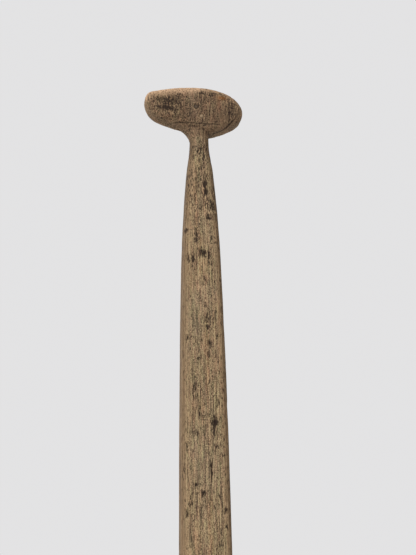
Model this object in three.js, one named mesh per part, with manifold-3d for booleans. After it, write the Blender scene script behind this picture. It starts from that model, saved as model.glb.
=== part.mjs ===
// An old wooden rowing oar with a T-grip, 1.75 m long, standing on the tip of its blade.
//
// Millimetres, +Z up along the oar, origin under the middle of the blade's tip.
// X runs across the oar's width and Y through its thickness; the front face looks along -Y.
//
// The oar is one long plank-like loom. Its foot runs down the middle of the blade as the spine,
// and a board is dowelled to each side of it. Its neck ends in a tenon, which goes right through
// the T-grip and is held by two pegs and a wedge. A riveted metal band caps the blade's tip.

import * as THREE from 'three';
import { mergeVertices } from 'three/addons/utils/BufferGeometryUtils.js';
import Module from 'manifold-3d';

const wasm = await Module();
wasm.setup();

// ---------------------------------------------------------------- driving dimensions

const LENGTH = 1750;
const GAP = 0.3; // clearance between two pieces that touch
const OUTSIDE = 90; // a cutting shape this big reaches past the wood on every side
const OVERRUN = 5; // how far a blank stands out before it is trimmed

const NECK_TOP = 1679; // the shoulder where the loom meets the grip

// Sections of the loom and blade, from the neck down to the tip. `middle` and `edge` are the
// half thickness on the centre line and at the rounded edge; `corner` is the edge's radius.
const STATIONS = [
  { z: 1700, half: 11.8, middle: 13, edge: 13, corner: 9.5 },
  { z: 1665, half: 11.8, middle: 13, edge: 13, corner: 9.5 },
  { z: 1650, half: 14.6, middle: 13.8, edge: 13.8, corner: 9.5 },
  { z: 1634, half: 16.5, middle: 14.8, edge: 14.8, corner: 9.5 },
  { z: 1600, half: 19.1, middle: 16, edge: 16, corner: 9 },
  { z: 1560, half: 21.6, middle: 16.7, edge: 16.7, corner: 8.5 },
  { z: 1500, half: 23.8, middle: 17, edge: 17, corner: 8 },
  { z: 1400, half: 26.1, middle: 17, edge: 17, corner: 8 },
  { z: 1280, half: 28, middle: 17, edge: 17, corner: 8 },
  { z: 1150, half: 29, middle: 17, edge: 17, corner: 8 },
  { z: 860, half: 29.4, middle: 17, edge: 17, corner: 8 },
  { z: 780, half: 30, middle: 16.6, edge: 16, corner: 9 },
  { z: 700, half: 34, middle: 15.6, edge: 12.5, corner: 10 },
  { z: 620, half: 47, middle: 14.2, edge: 8.5, corner: 8 },
  { z: 540, half: 60, middle: 12.8, edge: 6.2, corner: 6 },
  { z: 430, half: 69.5, middle: 11.2, edge: 5.2, corner: 5 },
  { z: 300, half: 72.5, middle: 9.6, edge: 4.6, corner: 4.4 },
  { z: 160, half: 71.5, middle: 7.6, edge: 4.6, corner: 4.4 },
  { z: 50, half: 69, middle: 5, edge: 5, corner: 4.8 },
  { z: -10, half: 67.5, middle: 5, edge: 5, corner: 4.8 },
];
const NECK = STATIONS[0]; // the section where the loom meets the grip
const LOFT_STEP = 48; // greatest spacing of the cut sections along the oar
const LEAST_STEP = 1; // sections closer than this to an end are left out
const CORNER_STEPS = 4; // facets round each rounded edge
const FACE_STEPS = 4; // facets from an edge to the centre line
const BAR_SIDES = 16; // facets round a peg, dowel or drilled hole
const WELD = 1e-4; // points closer than this are one point

const TIP = { cornerRadius: 26, cornerSteps: 6 };

const BAND = { thickness: 0.9, height: 34 };
const WOOD_FOOT = BAND.thickness + GAP; // the wood ends this far above the ground
const RIVET = {
  shank: 1.6, head: 4, dome: 1.6, domeSteps: 3, sides: 14, height: 22, places: [-54, -27, 0, 27, 54],
};

const SPINE_HALF = 29.5; // the glue lines, where the side boards meet the spine
const CHEEK_TOP = 735; // the side boards feather out below this height
const DOWEL = { radius: 3, length: 40, heights: [150, 310, 470] };

// The grip is a lens-shaped bar across the top, a little longer to the left, and cocked so that
// its right end is lower. Heights are measured from GRIP_BASE.
const GRIP_BASE = 1700;
const GRIP = { thickness: 34, round: 10.5, roundSteps: 5, outlineSteps: 72 };
const GRIP_OUTLINE = [
  [-70.2, 28], [-69.6, 34], [-65.4, 39.2], [-56, 42.2], [-34, 47.2], [-12, 49.7], [6, 50],
  [22, 47.9], [35, 43.6], [46, 37.2], [53.5, 28.6], [56.6, 19], [55, 9.6], [49, 3],
  [39, -3.2], [26, -8.9], [11, -12.8], [-6, -9.6], [-22, -4.2], [-36, -0.6], [-50, 4],
  [-61, 10.4], [-67.2, 18.6],
];
// The boss under the bar: a straight neck that fans out to the left in one concave sweep and
// meets the right wing at a sharp inner corner.
const BOSS = {
  foot: -60, sweepStart: -22, sweepControl: [-12.9, -7], sweepEnd: [-38, 1.6], sweepSteps: 16,
  insideHalf: 38, insideTop: 34,
};

const TENON = { halfWidth: 9.5, halfThickness: 7.5, root: 20 };
const WEDGE = { depth: 24, topThickness: 3.4, footThickness: 1 };
const PEG = { radius: 2.7, length: GRIP.thickness + 0.8 };
const PEGS = {
  grip_peg_upper: { x: -5.6, z: 1719.5 },
  grip_peg_lower: { x: 1.4, z: 1706.5 },
};

// ---------------------------------------------------------------- materials

const finish = (color, roughness, metalness = 0) =>
  new THREE.MeshStandardMaterial({ color, roughness, metalness });

const MATERIALS = {
  loomWood: finish(0x85745a, 0.85),
  gripWood: finish(0x725c48, 0.8),
  cheekWood: finish(0x8a7860, 0.85),
  pegWood: finish(0x5b4734, 0.75),
  wedgeWood: finish(0x9a8468, 0.8),
  dowelWood: finish(0xa88d66, 0.7),
  bandMetal: finish(0x7a5a45, 0.55, 0.9),
  rivetMetal: finish(0x8a5f42, 0.45, 0.9),
};

// ---------------------------------------------------------------- solids

/** A closed three.js geometry as a solid that can be cut and joined. */
function solid(geometry) {
  const bare = geometry.clone();
  bare.deleteAttribute('normal');
  bare.deleteAttribute('uv');
  const merged = mergeVertices(bare, WELD);
  return new wasm.Manifold(new wasm.Mesh({
    numProp: 3,
    vertProperties: new Float32Array(merged.attributes.position.array),
    triVerts: new Uint32Array(merged.index.array),
  }));
}

/** A cut or joined solid as a three.js geometry again. */
function geometryOf(manifold) {
  const mesh = manifold.getMesh();
  const geometry = new THREE.BufferGeometry();
  geometry.setAttribute('position', new THREE.BufferAttribute(mesh.vertProperties, 3));
  geometry.setIndex(new THREE.BufferAttribute(mesh.triVerts, 1));
  geometry.computeVertexNormals();
  return geometry;
}

const oar = new THREE.Group();

function addPiece(name, shape, material) {
  const geometry = shape.isBufferGeometry ? shape : geometryOf(shape);
  const mesh = new THREE.Mesh(geometry, material);
  mesh.name = name;
  oar.add(mesh);
  return mesh;
}

const subtractAll = (from, tools) => tools.reduce((left, tool) => left.subtract(tool), from);

/** A box from its lowest to its highest corner. */
function block([x0, y0, z0], [x1, y1, z1]) {
  const box = new THREE.BoxGeometry(x1 - x0, y1 - y0, z1 - z0);
  return solid(box.translate((x0 + x1) / 2, (y0 + y1) / 2, (z0 + z1) / 2));
}

/** A round bar through the oar's thickness, along Y. */
function barAlongY(radius, length, x, z) {
  return new THREE.CylinderGeometry(radius, radius, length, BAR_SIDES).translate(x, 0, z);
}

/** A round bar across the oar's width, along X. */
function barAlongX(radius, length, x, z) {
  return new THREE.CylinderGeometry(radius, radius, length, BAR_SIDES)
    .rotateZ(Math.PI / 2)
    .translate(x, 0, z);
}

/** A skin over rings of equal length, closed by a fan at each end. */
function loft(rings) {
  const count = rings[0].length;
  const points = rings.flat();
  const triangles = [];
  for (let row = 0; row + 1 < rings.length; row += 1) {
    for (let i = 0; i < count; i += 1) {
      const a = row * count + i;
      const b = row * count + ((i + 1) % count);
      triangles.push(a, b, b + count, a, b + count, a + count);
    }
  }
  const closeEnd = (start, flipped) => {
    const centre = new THREE.Vector3();
    for (let i = 0; i < count; i += 1) centre.addScaledVector(points[start + i], 1 / count);
    points.push(centre);
    const hub = points.length - 1;
    for (let i = 0; i < count; i += 1) {
      const a = start + i;
      const b = start + ((i + 1) % count);
      triangles.push(hub, flipped ? b : a, flipped ? a : b);
    }
  };
  closeEnd(0, true);
  closeEnd((rings.length - 1) * count, false);
  const geometry = new THREE.BufferGeometry().setFromPoints(points);
  geometry.setIndex(triangles);
  return solid(geometry);
}

// ---------------------------------------------------------------- loom and blade

/** One column of STATIONS at height z, on a smooth curve that never overshoots. */
function station(column, z) {
  const rows = STATIONS;
  const slope = (i) => (rows[i][column] - rows[i + 1][column]) / (rows[i].z - rows[i + 1].z);
  let i = 0;
  while (i < rows.length - 2 && z < rows[i + 1].z) i += 1;
  const tangent = (j) => {
    if (j === 0 || j === rows.length - 1) return 0;
    const [above, below] = [slope(j - 1), slope(j)];
    return above * below <= 0 ? 0 : (2 * above * below) / (above + below);
  };
  const span = rows[i + 1].z - rows[i].z;
  const t = THREE.MathUtils.clamp((z - rows[i].z) / span, 0, 1);
  const [t2, t3] = [t * t, t * t * t];
  return (2 * t3 - 3 * t2 + 1) * rows[i][column]
    + (t3 - 2 * t2 + t) * span * tangent(i)
    + (3 * t2 - 2 * t3) * rows[i + 1][column]
    + (t3 - t2) * span * tangent(i + 1);
}

/** Half the blade's width at height z, with the tip's two corners rounded off. */
function halfWidth(z) {
  const radius = TIP.cornerRadius;
  const up = z - WOOD_FOOT;
  const lost = up < radius ? radius - Math.sqrt(Math.max(0, radius ** 2 - (radius - up) ** 2)) : 0;
  return station('half', z) - lost;
}

/** The ring of points round the oar at height z, grown outwards by `grow`. */
function sectionRing(z, grow, at = z) {
  const half = halfWidth(z) + grow;
  const [middle, edge, corner] = ['middle', 'edge', 'corner'].map((c) => station(c, z) + grow);
  const quarter = [];
  for (let i = 0; i <= CORNER_STEPS; i += 1) {
    const turn = (i / CORNER_STEPS) * (Math.PI / 2);
    quarter.push([half - corner + corner * Math.cos(turn), edge - corner + corner * Math.sin(turn)]);
  }
  for (let i = 1; i <= FACE_STEPS; i += 1) {
    const across = 1 - i / FACE_STEPS;
    const crown = Math.cos((across * Math.PI) / 2) ** 2;
    quarter.push([(half - corner) * across, edge + (middle - edge) * crown]);
  }
  const mirrored = quarter.slice(0, -1).reverse().map(([x, y]) => [-x, y]);
  const upper = [...quarter, ...mirrored];
  const lower = upper.slice().reverse().map(([x, y]) => [x, -y]);
  return [...upper, ...lower].map(([x, y]) => new THREE.Vector3(x, y, at));
}

/** The heights of the cut sections between two heights: round the tip's corners, then evenly
 *  from station to station. */
function sectionHeights(low, high) {
  const heights = [];
  for (let i = 0; i <= TIP.cornerSteps; i += 1) {
    const turn = (i / TIP.cornerSteps) * (Math.PI / 2);
    heights.push(WOOD_FOOT + TIP.cornerRadius * (1 - Math.cos(turn)));
  }
  const straight = heights[heights.length - 1];
  for (let i = STATIONS.length - 2; i > 0; i -= 1) {
    const [from, to] = [STATIONS[i].z, STATIONS[i - 1].z];
    const steps = Math.max(2, Math.ceil((to - from) / LOFT_STEP));
    for (let k = 0; k < steps; k += 1) heights.push(from + ((to - from) * k) / steps);
  }
  const isClear = (z, i) => z > low + LEAST_STEP && z < high - LEAST_STEP
    && (i <= TIP.cornerSteps || z > straight + LEAST_STEP);
  return [low, ...heights.filter(isClear), high];
}

/** The whole wooden outline of loom and blade between two heights. */
function woodEnvelope(low, high) {
  return loft(sectionHeights(low, high).map((z) => sectionRing(z, 0)));
}

const GLUE_LINES = { left: -SPINE_HALF, right: SPINE_HALF };

const dowelPlaces = Object.entries(GLUE_LINES).flatMap(([side, x]) =>
  DOWEL.heights.map((z, i) => ({ name: `blade_dowel_${side}_${i + 1}`, x, z })));

const dowelHoles = dowelPlaces.map(({ x, z }) =>
  solid(barAlongX(DOWEL.radius + GAP, DOWEL.length + 2 * GAP, x, z)));

const rivetHoles = RIVET.places.map((x) =>
  solid(barAlongY(RIVET.shank + GAP, OUTSIDE, x, RIVET.height)));

/** The room for one side board: everything beyond its glue line, up to CHEEK_TOP. */
function cheekSpace(side) {
  const glue = GLUE_LINES[side];
  const edge = Math.sign(glue) * OUTSIDE;
  return block(
    [Math.min(glue, edge), -OUTSIDE, -OUTSIDE],
    [Math.max(glue, edge), OUTSIDE, CHEEK_TOP],
  );
}

// ---------------------------------------------------------------- tip band and rivets

/** The band: a thin metal sheet folded round the tip, open only at its upper end. */
function tipBand() {
  const heights = sectionHeights(WOOD_FOOT, BAND.height);
  const rings = (grow, foot) => heights.map((z, i) => sectionRing(z, grow, i === 0 ? foot : z));
  const outside = loft(rings(GAP + BAND.thickness, 0));
  const mouth = sectionRing(BAND.height, GAP, BAND.height + OVERRUN);
  const inside = loft([...rings(GAP, BAND.thickness), mouth]);
  return subtractAll(outside, [inside, ...rivetHoles]);
}

/** A rivet: a shank through band and wood with a domed head on each side. */
function rivetGeometry() {
  const seat = station('middle', RIVET.height) + BAND.thickness + 2 * GAP;
  const upper = [[RIVET.shank, seat]];
  for (let i = 0; i < RIVET.domeSteps; i += 1) {
    const turn = (i / RIVET.domeSteps) * (Math.PI / 2);
    upper.push([RIVET.head * Math.cos(turn), seat + RIVET.dome * Math.sin(turn)]);
  }
  upper.push([0, seat + RIVET.dome]);
  const lower = upper.map(([r, y]) => [r, -y]).reverse();
  const profile = [...lower, ...upper].map(([r, y]) => new THREE.Vector2(r, y));
  return new THREE.LatheGeometry(profile, RIVET.sides);
}

// ---------------------------------------------------------------- grip

/** The lens-shaped bar, with its long edges well rounded. */
function gripBar() {
  const corners = GRIP_OUTLINE.map(([x, up]) => new THREE.Vector3(x, up, 0));
  const curve = new THREE.CatmullRomCurve3(corners, true, 'centripetal');
  const outline = curve.getSpacedPoints(GRIP.outlineSteps);
  const shape = new THREE.Shape(outline.slice(0, -1).map((p) => new THREE.Vector2(p.x, p.y)));
  return throughThickness(shape, GRIP.thickness, GRIP.round, GRIP.roundSteps);
}

/** The boss that carries the bar: the neck's section below, fanning out above. */
function gripBoss() {
  const { half } = NECK;
  const shape = new THREE.Shape();
  shape.moveTo(-half, BOSS.foot);
  shape.lineTo(-half, BOSS.sweepStart);
  shape.quadraticCurveTo(...BOSS.sweepControl, ...BOSS.sweepEnd);
  shape.lineTo(-BOSS.insideHalf, BOSS.insideTop);
  shape.lineTo(half, BOSS.insideTop);
  shape.lineTo(half, BOSS.foot);
  const blank = throughThickness(shape, 2 * NECK.middle, NECK.corner, CORNER_STEPS);
  return blank.subtract(block(
    [-OUTSIDE, -OUTSIDE, NECK_TOP - OUTSIDE],
    [OUTSIDE, OUTSIDE, NECK_TOP + GAP],
  ));
}

/** An outline in the XZ plane, made into a plate whose edges are rounded by `round`. */
function throughThickness(shape, thickness, round, bevelSegments) {
  const plate = new THREE.ExtrudeGeometry(shape, {
    depth: thickness - 2 * round,
    bevelEnabled: true,
    bevelThickness: round,
    bevelSize: round,
    bevelOffset: -round,
    bevelSegments,
    curveSegments: BOSS.sweepSteps,
    steps: 1,
  });
  plate.translate(0, 0, -(thickness / 2 - round));
  return solid(plate.rotateX(Math.PI / 2).translate(0, 0, GRIP_BASE));
}

/** The wedge before its top is trimmed to the crown, or with `grow` the slot that it sits in. */
function wedgeBlank(grow) {
  const top = WEDGE.topThickness / 2 + grow;
  const foot = WEDGE.footThickness / 2 + grow;
  const high = LENGTH - GRIP_BASE + OVERRUN;
  const low = LENGTH - GRIP_BASE - WEDGE.depth - grow;
  const shape = new THREE.Shape([
    new THREE.Vector2(-foot, low), new THREE.Vector2(foot, low),
    new THREE.Vector2(top, high), new THREE.Vector2(-top, high),
  ]);
  const depth = 2 * (TENON.halfThickness + (grow ? OVERRUN : -GAP));
  const plate = new THREE.ExtrudeGeometry(shape, { depth, bevelEnabled: false });
  return solid(plate.translate(0, 0, -depth / 2).rotateX(Math.PI / 2).translate(0, 0, GRIP_BASE));
}

const head = gripBar().add(gripBoss());
const tenonBlock = (grow) => block(
  [-TENON.halfWidth - grow, -TENON.halfThickness - grow, NECK_TOP - TENON.root],
  [TENON.halfWidth + grow, TENON.halfThickness + grow, LENGTH + OVERRUN],
);
const pegHoles = Object.values(PEGS).map(({ x, z }) =>
  solid(barAlongY(PEG.radius + GAP, OUTSIDE, x, z)));

// ---------------------------------------------------------------- the pieces

const envelope = woodEnvelope(WOOD_FOOT, NECK_TOP);
const shoulder = block(
  [-OUTSIDE, -OUTSIDE, NECK_TOP - TENON.root],
  [OUTSIDE, OUTSIDE, NECK_TOP + LEAST_STEP],
);
const tenon = tenonBlock(0).intersect(head.add(shoulder)).subtract(wedgeBlank(GAP));
const bladeCuts = [cheekSpace('left'), cheekSpace('right'), ...dowelHoles, ...rivetHoles];
const loom = subtractAll(subtractAll(envelope, bladeCuts).add(tenon), pegHoles);

addPiece('loom', loom, MATERIALS.loomWood);

addPiece('t_grip', subtractAll(head, [tenonBlock(GAP), ...pegHoles]), MATERIALS.gripWood);
addPiece('grip_wedge', wedgeBlank(0).intersect(head), MATERIALS.wedgeWood);

for (const [name, { x, z }] of Object.entries(PEGS)) {
  const peg = addPiece(name, barAlongY(PEG.radius, PEG.length, 0, 0), MATERIALS.pegWood);
  peg.position.set(x, 0, z);
}

for (const [side, glue] of Object.entries(GLUE_LINES)) {
  const room = cheekSpace(side).translate(Math.sign(glue) * GAP, 0, -GAP);
  const board = subtractAll(envelope.intersect(room), [...dowelHoles, ...rivetHoles]);
  addPiece(`blade_cheek_${side}`, board, MATERIALS.cheekWood);
}

for (const { name, x, z } of dowelPlaces) {
  const dowel = addPiece(name, barAlongX(DOWEL.radius, DOWEL.length, 0, 0), MATERIALS.dowelWood);
  dowel.position.set(x, 0, z);
}

addPiece('tip_band', tipBand(), MATERIALS.bandMetal);

RIVET.places.forEach((x, i) => {
  const rivet = addPiece(`tip_rivet_${i + 1}`, rivetGeometry(), MATERIALS.rivetMetal);
  rivet.position.set(x, 0, RIVET.height);
});

export default oar;
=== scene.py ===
"""Looks of the old T-gripped rowing oar: bare weathered wood, two pegs, a wedge and a tip band."""

import math

import bmesh
import bpy
import numpy as np
from mathutils import Matrix, Vector
from mathutils.bvhtree import BVHTree


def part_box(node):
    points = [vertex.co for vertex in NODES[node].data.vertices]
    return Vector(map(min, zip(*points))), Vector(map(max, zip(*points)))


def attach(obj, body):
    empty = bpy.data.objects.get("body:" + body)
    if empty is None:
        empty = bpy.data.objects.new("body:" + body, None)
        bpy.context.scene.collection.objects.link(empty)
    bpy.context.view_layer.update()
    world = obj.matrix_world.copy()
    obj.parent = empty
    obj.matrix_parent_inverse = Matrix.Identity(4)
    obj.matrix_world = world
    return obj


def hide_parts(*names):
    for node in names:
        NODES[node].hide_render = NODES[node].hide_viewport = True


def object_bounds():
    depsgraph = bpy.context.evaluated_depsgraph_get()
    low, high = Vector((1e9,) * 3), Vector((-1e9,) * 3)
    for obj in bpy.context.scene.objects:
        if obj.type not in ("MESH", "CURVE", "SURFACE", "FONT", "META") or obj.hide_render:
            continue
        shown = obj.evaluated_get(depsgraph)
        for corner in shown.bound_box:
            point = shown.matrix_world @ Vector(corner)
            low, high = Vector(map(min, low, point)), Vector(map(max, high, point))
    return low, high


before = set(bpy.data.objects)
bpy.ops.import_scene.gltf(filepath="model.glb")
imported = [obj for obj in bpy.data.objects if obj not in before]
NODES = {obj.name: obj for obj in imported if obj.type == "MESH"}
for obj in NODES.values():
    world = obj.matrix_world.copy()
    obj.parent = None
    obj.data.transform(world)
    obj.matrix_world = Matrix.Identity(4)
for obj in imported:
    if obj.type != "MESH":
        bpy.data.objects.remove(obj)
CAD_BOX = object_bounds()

MM = 0.001
SEED = 41
OCTAVE_WEIGHT = 0.55
OCTAVE_SHIFT = 17.3


# -------------------- camera and light

# The camera looks up at the grip from just left of the oar's middle. Distances are in metres.
CAMERA_AZIMUTH = math.radians(-10.0)
CAMERA_PITCH = math.radians(15.3)
CAMERA_ROLL = math.radians(-1.045)
CAMERA_DISTANCE = 0.9076
CAMERA_BELOW_TOP = 0.5006
CAMERA_SIDESTEP = 0.0084
CAMERA_LENS = 50.0

BACKGROUND = (0.768, 0.765, 0.772)
SOFT_BOX_SIDE = (-0.85, -0.20, 0.70)
GLOW = (0.30, 1.28)
GLOW_REACH = (-0.8, 1.0)
GLOW_COLOUR = (1.0, 0.985, 0.96)
KEY_SIDE = (-0.85, -0.55, 0.80)
KEY_WIDTH = math.radians(32)
KEY_STRENGTH = 1.25
KEY_COLOUR = (1.0, 0.975, 0.94)
FLOOR_RADIUS = 13.0
FLOOR_GREY, FLOOR_MOTTLE = 0.61, 0.004


def make_camera():
    """A camera that sees the grip and the upper half of the loom, placed from the oar's top."""
    top = CAD_BOX[1].z
    back = Vector((math.sin(CAMERA_AZIMUTH), -math.cos(CAMERA_AZIMUTH), 0))
    forward = -back * math.cos(CAMERA_PITCH) + Vector((0, 0, math.sin(CAMERA_PITCH)))
    level_right = forward.cross(Vector((0, 0, 1))).normalized()
    level_up = level_right.cross(forward)
    right = level_right * math.cos(CAMERA_ROLL) + level_up * math.sin(CAMERA_ROLL)
    up = level_up * math.cos(CAMERA_ROLL) - level_right * math.sin(CAMERA_ROLL)
    place = back * CAMERA_DISTANCE + level_right * CAMERA_SIDESTEP
    place.z = top - CAMERA_BELOW_TOP
    data = bpy.data.cameras.new("camera")
    data.lens = CAMERA_LENS
    camera = bpy.data.objects.new("camera", data)
    turn = Matrix((right, up, -forward)).transposed().to_4x4()
    camera.matrix_world = Matrix.Translation(place) @ turn
    bpy.context.scene.collection.objects.link(camera)
    bpy.context.scene.camera = camera


def make_world():
    """A plain pale surround. It lights the object most from the upper left, like a big soft box."""
    world = bpy.data.worlds.new("surround")
    bpy.context.scene.world = world
    world.use_nodes = True
    nodes, links = world.node_tree.nodes, world.node_tree.links
    nodes.clear()
    out = nodes.new("ShaderNodeOutputWorld")
    mix = nodes.new("ShaderNodeMixShader")
    path = nodes.new("ShaderNodeLightPath")
    glow, seen = nodes.new("ShaderNodeBackground"), nodes.new("ShaderNodeBackground")
    direction = nodes.new("ShaderNodeTexCoord")
    towards = nodes.new("ShaderNodeVectorMath")
    towards.operation = "DOT_PRODUCT"
    towards.inputs[1].default_value = Vector(SOFT_BOX_SIDE).normalized()
    spread = nodes.new("ShaderNodeMapRange")
    spread.interpolation_type = "SMOOTHSTEP"
    for name, (low, high) in (("From", GLOW_REACH), ("To", GLOW)):
        spread.inputs[f"{name} Min"].default_value = low
        spread.inputs[f"{name} Max"].default_value = high
    glow.inputs["Color"].default_value = (*GLOW_COLOUR, 1)
    seen.inputs["Color"].default_value = (*BACKGROUND, 1)
    links.new(direction.outputs["Generated"], towards.inputs[0])
    links.new(towards.outputs["Value"], spread.inputs["Value"])
    links.new(spread.outputs["Result"], glow.inputs["Strength"])
    links.new(path.outputs["Is Camera Ray"], mix.inputs[0])
    links.new(glow.outputs[0], mix.inputs[1])
    links.new(seen.outputs[0], mix.inputs[2])
    links.new(mix.outputs[0], out.inputs[0])


def make_key():
    """One broad, soft lamp from the upper left, wide enough for blurred shadows."""
    data = bpy.data.lights.new("key", "SUN")
    data.angle, data.energy, data.color = KEY_WIDTH, KEY_STRENGTH, KEY_COLOUR
    lamp = bpy.data.objects.new("key", data)
    lamp.rotation_mode = "QUATERNION"
    lamp.rotation_quaternion = Vector(KEY_SIDE).to_track_quat("Z", "Y")
    bpy.context.scene.collection.objects.link(lamp)


# -------------------- repeatable noise


def lattice(i, j, k, seed):
    """One repeatable random number from -1 to 1 for each whole-numbered point, by mixing bits."""
    mask = np.uint64(0xFFFFFFFF)
    h = (i.astype(np.int64) * 374761393 + j.astype(np.int64) * 668265263
         + k.astype(np.int64) * 951274213 + seed * 144665).astype(np.uint64) & mask
    h = ((h ^ (h >> np.uint64(13))) * np.uint64(1274126177)) & mask
    h = ((h ^ (h >> np.uint64(15))) * np.uint64(2246822519)) & mask
    h = h ^ (h >> np.uint64(16))
    return h.astype(float) / 2147483647.5 - 1


def noise(points, size, seed, octaves=1):
    """Smooth noise from about -1 to 1. `size` is the size of its lumps in mm along X, Y and Z."""
    total, weight = np.zeros(len(points)), 0.0
    for octave in range(octaves):
        p = points / (np.array(size, float) / 2 ** octave) + OCTAVE_SHIFT * octave
        base = np.floor(p).astype(np.int64)
        f = p - base
        f = f * f * f * (f * (f * 6 - 15) + 10)
        value = np.zeros(len(points))
        for corner in np.ndindex(2, 2, 2):
            share = np.prod([f[:, a] if c else 1 - f[:, a] for a, c in enumerate(corner)], axis=0)
            cell = base + np.array(corner)
            value += share * lattice(cell[:, 0], cell[:, 1], cell[:, 2], SEED + seed + 7 * octave)
        total += value * OCTAVE_WEIGHT ** octave
        weight += OCTAVE_WEIGHT ** octave
    return total / weight


def smoothstep(low, high, value):
    """0 at `low` and 1 at `high`, with a soft start and end. `low` may be the larger."""
    t = np.clip((value - low) / (high - low), 0, 1)
    return t * t * (3 - 2 * t)


# -------------------- meshes in mm


class Skin:
    """A mesh as arrays: points in mm, faces, and one number per point for each attribute."""

    def __init__(self, points, faces):
        self.points = np.array(points, float)
        self.faces = [list(f) for f in faces]
        self.attributes = {}
        pairs = {(min(a, b), max(a, b)) for f in self.faces for a, b in zip(f, f[1:] + f[:1])}
        self.edges = np.array(sorted(pairs))

    def spread(self, values, rounds):
        """Values averaged with their neighbours' a number of times."""
        a, b = self.edges[:, 0], self.edges[:, 1]
        count = np.bincount(self.edges.ravel(), minlength=len(self.points)).astype(float)
        out = np.array(values, float)
        flat = out.ndim == 1
        out = out.reshape(len(self.points), -1)
        for _ in range(rounds):
            gathered = np.zeros_like(out)
            for column in range(out.shape[1]):
                gathered[:, column] = (
                    np.bincount(a, out[b, column], len(out)) + np.bincount(b, out[a, column], len(out)))
            out = 0.5 * out + 0.5 * gathered / count[:, None]
        return out[:, 0] if flat else out

    def normals(self):
        """The outward direction at each point."""
        triangles = np.array([(f[0], f[i], f[i + 1]) for f in self.faces for i in range(1, len(f) - 1)])
        corners = self.points[triangles]
        across = np.cross(corners[:, 1] - corners[:, 0], corners[:, 2] - corners[:, 0])
        total = np.zeros_like(self.points)
        for c in range(3):
            for axis in range(3):
                total[:, axis] += np.bincount(triangles[:, c], across[:, axis], len(total))
        return total / np.maximum(np.linalg.norm(total, axis=1, keepdims=True), 1e-12)

    def relief(self, rounds):
        """How far each point stands out of its surroundings, in mm."""
        return np.einsum("ij,ij->i", self.points - self.spread(self.points, rounds), self.normals())

    def push(self, height):
        """Moves each point out along its normal, by a height in mm."""
        self.points += self.normals() * height[:, None]

    def build(self, name, material):
        """Makes the skin an object in metres, which rides on the oar's one body."""
        mesh = bpy.data.meshes.new(name)
        mesh.from_pydata((self.points * MM).tolist(), [], self.faces)
        for key, values in self.attributes.items():
            layer = mesh.attributes.new(key, "FLOAT", "POINT")
            layer.data.foreach_set("value", np.asarray(values, np.float32))
        mesh.polygons.foreach_set("use_smooth", [True] * len(mesh.polygons))
        mesh.materials.append(material)
        mesh.update()
        piece = bpy.data.objects.new(name, mesh)
        bpy.context.scene.collection.objects.link(piece)
        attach(piece, "root")
        return piece


def merged(skins):
    """Several skins as one."""
    points, faces, start = [], [], 0
    for skin in skins:
        points.append(skin.points)
        faces += [[i + start for i in f] for f in skin.faces]
        start += len(skin.points)
    whole = Skin(np.concatenate(points), faces)
    for key in skins[0].attributes:
        whole.attributes[key] = np.concatenate([s.attributes[key] for s in skins])
    return whole


def lofted(rings):
    """A closed skin over rings of points, with a fan across each end."""
    rings = np.array(rings)
    rows, count = rings.shape[:2]
    at = np.arange(rows * count).reshape(rows, count)
    following = np.roll(at, -1, axis=1)
    quads = np.stack([at[:-1], following[:-1], following[1:], at[1:]], axis=-1).reshape(-1, 4)
    foot, head = rows * count, rows * count + 1
    fans = [[foot, following[0, i], at[0, i]] for i in range(count)]
    fans += [[head, at[-1, i], following[-1, i]] for i in range(count)]
    points = np.concatenate([rings.reshape(-1, 3), [rings[0].mean(0), rings[-1].mean(0)]])
    return Skin(points, quads.tolist() + fans)


def cut_below(mesh, height):
    """Cuts away what lies below a height in mm, and closes the cut."""
    shape = bmesh.new()
    shape.from_mesh(mesh)
    bmesh.ops.remove_doubles(shape, verts=shape.verts, dist=1e-6)
    cut = bmesh.ops.bisect_plane(
        shape, geom=shape.verts[:] + shape.edges[:] + shape.faces[:],
        plane_co=(0, 0, height * MM), plane_no=(0, 0, 1), clear_inner=True)
    rim = [e for e in cut["geom_cut"] if isinstance(e, bmesh.types.BMEdge)]
    bmesh.ops.holes_fill(shape, edges=rim)
    shape.to_mesh(mesh)
    shape.free()


def remeshed(source, voxel, above=None):
    """An even skin over a CAD node, or over the part of it above a height, in mm."""
    mesh = source.data.copy()
    if above is not None:
        cut_below(mesh, above)
    helper = bpy.data.objects.new("helper", mesh)
    bpy.context.scene.collection.objects.link(helper)
    remesh = helper.modifiers.new("even", "REMESH")
    remesh.mode = "VOXEL"
    remesh.voxel_size = voxel * MM
    done = helper.evaluated_get(bpy.context.evaluated_depsgraph_get()).to_mesh()
    points = np.empty(len(done.vertices) * 3)
    done.vertices.foreach_get("co", points)
    skin = Skin(points.reshape(-1, 3) / MM, [tuple(p.vertices) for p in done.polygons])
    bpy.data.objects.remove(helper)
    return skin


# -------------------- the loom's and blade's outline

TOP = CAD_BOX[1].z / MM
GRIP_BOX = [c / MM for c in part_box("t_grip")]
NECK_TOP = GRIP_BOX[0].z
WOOD_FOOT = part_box("loom")[0].z / MM
CHEEK_BOX = [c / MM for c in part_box("blade_cheek_right")]
GLUE_LINE = CHEEK_BOX[0].x
CHEEK_TOP = CHEEK_BOX[1].z
BAND_BOX = [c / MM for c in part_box("tip_band")]

# The sections lie this far apart in mm, closer together near the top and over the foot. The first
# and last lie this far inside the ends.
FINE_ROW, COARSE_ROW = 3.0, 5.0
FINE_ABOVE = TOP - 610
FIRST_ROW, LAST_ROW = 0.4, 0.5
FOOT_ROWS = np.array([0.8, 1.8, 3.0])
# Above this height over the foot the outline is smoothed, over this many sections.
SMOOTH_ABOVE = 30.0
SMOOTH_ROWS = 3.0
SAMPLES_ACROSS = 64
# Rays start this far to the right of the oar and this far in front of it.
RAY_SIDE, RAY_FRONT = 200.0, 80.0
# A section's least half depth and least width in mm, and its corners' share of the depth by them.
THINNEST, NARROWEST = 0.4, 0.6
CORNER_SHARE = 0.25


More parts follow.
